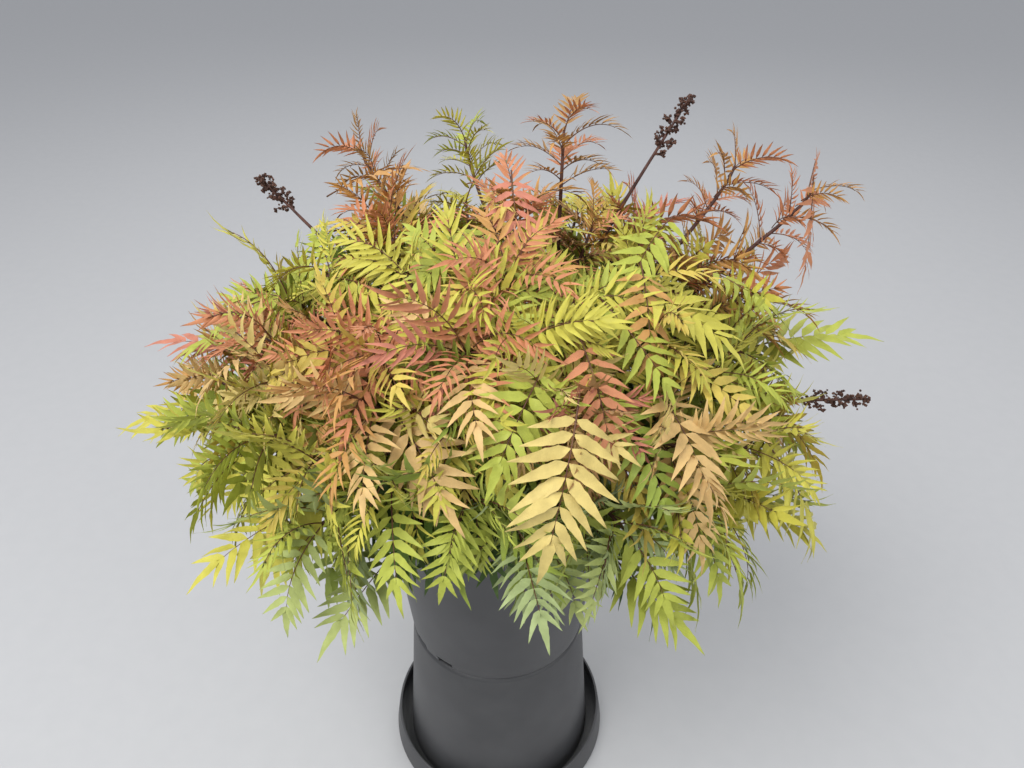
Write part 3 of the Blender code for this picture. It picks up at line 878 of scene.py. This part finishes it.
def add_capsule(seeds, rng, spot, end):
    """One tiny dry capsule, near a side twig of a seed head."""
    place = spot.lerp(end, rng.uniform(*CAPSULE_SHARE))
    place += Vector([rng.gauss(0, CAPSULE_SCATTER) for _ in range(3)])
    size = rng.uniform(*CAPSULE_SIZE)
    angle = rng.uniform(0, tau)
    turn = Matrix.Rotation(angle, 3, Vector((rng.random(), rng.random(), 1)).normalized())
    ends = [place + turn @ Vector(lump_end) * size for lump_end in LUMP_ENDS]
    seeds.add(np.array([array(lump_end) for lump_end in ends]), LUMP_FACES)


def add_seed_head(twigs, seeds, rng, foot, tip, length):
    """A dark old flower head: a twig with short side twigs, all set with tiny dry capsules."""
    whole = (tip - foot).length
    way = (tip - foot).normalized()
    path = bezier(foot, foot + way * HEAD_PULL * whole + UP * HEAD_RISE,
                  tip - way * HEAD_PULL * whole, tip, HEAD_STEM[-1])
    add_tube(twigs, path, taper(*HEAD_STEM), STEM_SIDES, TWIG_RELIEF)
    for branch in range(HEAD_TWIGS):
        share = 1 - length / whole * (1 - branch / HEAD_TWIGS)
        spot, _ = along_path(path, max(0.0, share))
        across = spoke(way, branch * GOLDEN_TURN)
        reach = HEAD_TWIG_LENGTH * (1 - HEAD_TWIG_LOSS * branch / HEAD_TWIGS)
        end = spot + (across * HEAD_TWIG_ACROSS + way * HEAD_TWIG_ALONG).normalized() * reach
        add_tube(twigs, [spot, spot.lerp(end, 0.5), end], HEAD_TWIG_RADII, THIN_SIDES)
        for _ in range(CAPSULES_ON_TWIG):
            add_capsule(seeds, rng, spot, end)


def node_line(name, root_side):
    """The near and far ends of a standing-out node and the way between them, away from a root place."""
    low, high = (Vector(corner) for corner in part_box(name))
    centre = (low + high) / 2
    outward = (centre - Vector(root_side)).normalized()
    half = (high - low) / 2
    reach = min(h / max(abs(o), LEAST_SHARE) for h, o in zip(half, outward))
    return (centre - outward * reach * NODE_ROOT_REACH, centre + outward * reach * NODE_TIP_REACH,
            outward)


def standing_leaves(bags, rng):
    """The single leaves that stand out of the crown, each inside its own node."""
    leaves, _, stalks, _ = bags
    for name, (tint, size) in SINGLE_LEAVES.items():
        _, tip, outward = node_line(name, LEAF_ROOT)
        length = LEAF_LENGTH * size + LEAFLET_LENGTH * size * SINGLE_TIP
        normal = outward.cross(UP).normalized().cross(outward)
        add_compound_leaf(leaves, stalks, rng, tip - outward * length, outward + UP * SINGLE_LIFT,
                          normal, size, tint, SINGLE_DROOP)


def standing_shoots(bags, rng):
    """The shoots that stand out of the crown, each inside its own node: a stem and a tuft."""
    _, young, stalks, twigs = bags
    for name, kind in STANDING_TUFTS.items():
        root, tip, outward = node_line(name, SHOOT_ROOT)
        stem_end = root.lerp(tip, STANDING_STEM_END)
        path = bezier(root - outward * STANDING_FOOT_BACK, root, stem_end - UP * STANDING_PULL_DOWN,
                      stem_end, STANDING_STEM[-1])
        add_tube(twigs, path, taper(*STANDING_STEM), STEM_SIDES, TWIG_RELIEF)
        start = rng.uniform(0, tau)
        level = outward.cross(UP).normalized()
        for index in range(STANDING_LEAVES):
            across = Matrix.Rotation(start + index * GOLDEN_TURN, 3, outward) @ level
            splay = STANDING_SPLAY + STANDING_SPLAY_STEP * index
            heading = (outward * STANDING_ALONG + across * splay + UP * STANDING_LIFT).normalized()
            normal = squared(outward, heading)
            spot = path[-1].lerp(path[STANDING_TUFT_FOOT], index / STANDING_LEAVES)
            add_compound_leaf(young, stalks, rng, spot, heading, normal, rng.uniform(*STANDING_SIZE),
                              rng.choice(SHOOT_KINDS[kind]["young"]), rng.uniform(*STANDING_DROOP), YOUNG)


def seen_leaves(bags, rng):
    """The single leaves that show plainly, each drawn from its tip back into the crown."""
    leaves, _, stalks, _ = bags
    whole = LEAF_LENGTH + SEEN_TIP * LEAFLET_LENGTH
    for tint, base, tip, broad in SEEN_LEAVES:
        base, tip = Vector(base), Vector(tip)
        way = (tip - base).normalized()
        size = max(SEEN_LEAST_SIZE, SEEN_REACH * (tip - base).length / whole)
        start = tip - way * size * whole
        outward = ((base + tip) / 2 - CROWN_CENTRE).normalized() + UP * SEEN_LIFT
        heading = way + outward * SEEN_DROOP / 2
        add_compound_leaf(leaves, stalks, rng, start, heading, squared(outward, way), size, tint,
                          SEEN_DROOP, broad=broad)


def grow_plant():
    """All stems, twigs, leaves and seed heads."""
    rng = random.Random(SEED)
    leaves, young, stalks, twigs, seeds = SideBags(), SideBags(), Bag(), Bag(), Bag()
    bags = (leaves, young, stalks, twigs)
    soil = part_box("root_ball")[1][2]
    for kind, place, outward, size in all_shoots(rng):
        level = Vector((place.x, place.y, 0))
        foot = level * (CLUMP_RADIUS / CROWN_HALF.x) + Vector((0, 0, soil - SURFACE_DROP))
        add_shoot(bags, rng, foot, place, outward, kind, size)
    standing_leaves(bags, rng)
    standing_shoots(bags, rng)
    seen_leaves(bags, rng)
    for name, length in SEED_HEADS:
        root, tip, _ = node_line(name, SEED_ROOT)
        add_seed_head(twigs, seeds, rng, root, tip, length)
    tints = [leaf_material(name) for name in TINT_NAMES]
    nodes = list(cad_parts)
    masses = [name for name in nodes if name.startswith(("leaves_", "leaf_", "frond_"))]
    fresh = [name for name in nodes if name.startswith("shoot_")]
    boughs = [name for name in nodes if name.startswith("bough_")]
    heads = [name for name in nodes if name.startswith("seed_head_")]
    stalk_look, bark_look = varied_material("leaf_stalk"), varied_material("stem_bark")
    pieces = []
    for side in SIDES:
        here = [name for name in masses if side_of(node_middle(name)) == side]
        pieces.append((leaves.bags[side].build("leaves_" + side + "_side", tints), here, "leaves"))
        new = young.bags[side].build("young_leaves_" + side + "_side", tints)
        pieces.append((new, fresh + here, "new_leaves"))
    pieces += [
        (stalks.build("leaf_stalks", [stalk_look]), masses, "bark"),
        (twigs.build("stems_and_twigs", [bark_look]), boughs, "bark"),
        (seeds.build("seed_capsules", [varied_material("seed_head_brown")], smooth=False), heads,
         "seed_heads"),
    ]
    for piece, stood_for, slot in pieces:
        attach(piece, "root")
        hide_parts(*stood_for)
        print(piece.name, len(piece.data.polygons), "triangles")


def stage():
    """A pale floor, soft lights and the camera at the photograph's view."""
    floor_mesh = bpy.data.meshes.new("floor")
    half = FLOOR_HALF
    floor_mesh.from_pydata([(-half, -half, 0), (half, -half, 0), (half, half, 0), (-half, half, 0)],
                           [], [(0, 1, 2, 3)])
    floor_mesh.materials.append(varied_material("pale_floor"))
    floor = add_object("floor", floor_mesh)
    world = bpy.data.worlds.new("studio")
    world.use_nodes = True
    world.node_tree.nodes["Background"].inputs["Color"].default_value = SKY_COLOUR
    world.node_tree.nodes["Background"].inputs["Strength"].default_value = SKY_STRENGTH
    bpy.context.scene.world = world
    for name, place, size, watts in LAMPS:
        light = bpy.data.lights.new(name, "AREA")
        light.shape = "DISK"
        light.size = size
        light.energy = watts
        lamp = add_object(name, light)
        lamp.location = place
        lamp.rotation_euler = (LAMP_AIM - Vector(place)).to_track_quat("-Z", "Y").to_euler()
    lens = bpy.data.cameras.new("photo_view")
    lens.sensor_width = SENSOR_WIDTH
    lens.lens = CAMERA_LENS
    camera = add_object("photo_view", lens)
    camera.location = CAMERA_PLACE
    camera.rotation_euler = (radians(90 - CAMERA_DOWN), 0, 0)
    bpy.context.scene.camera = camera
    bpy.context.scene.view_settings.view_transform = "Standard"


stage()
plastic = varied_material("container_plastic", PLASTIC_SPECULAR)
lower_container(plastic)
plant_container(plastic)
compost(random.Random(SEED + 1))
grow_plant()
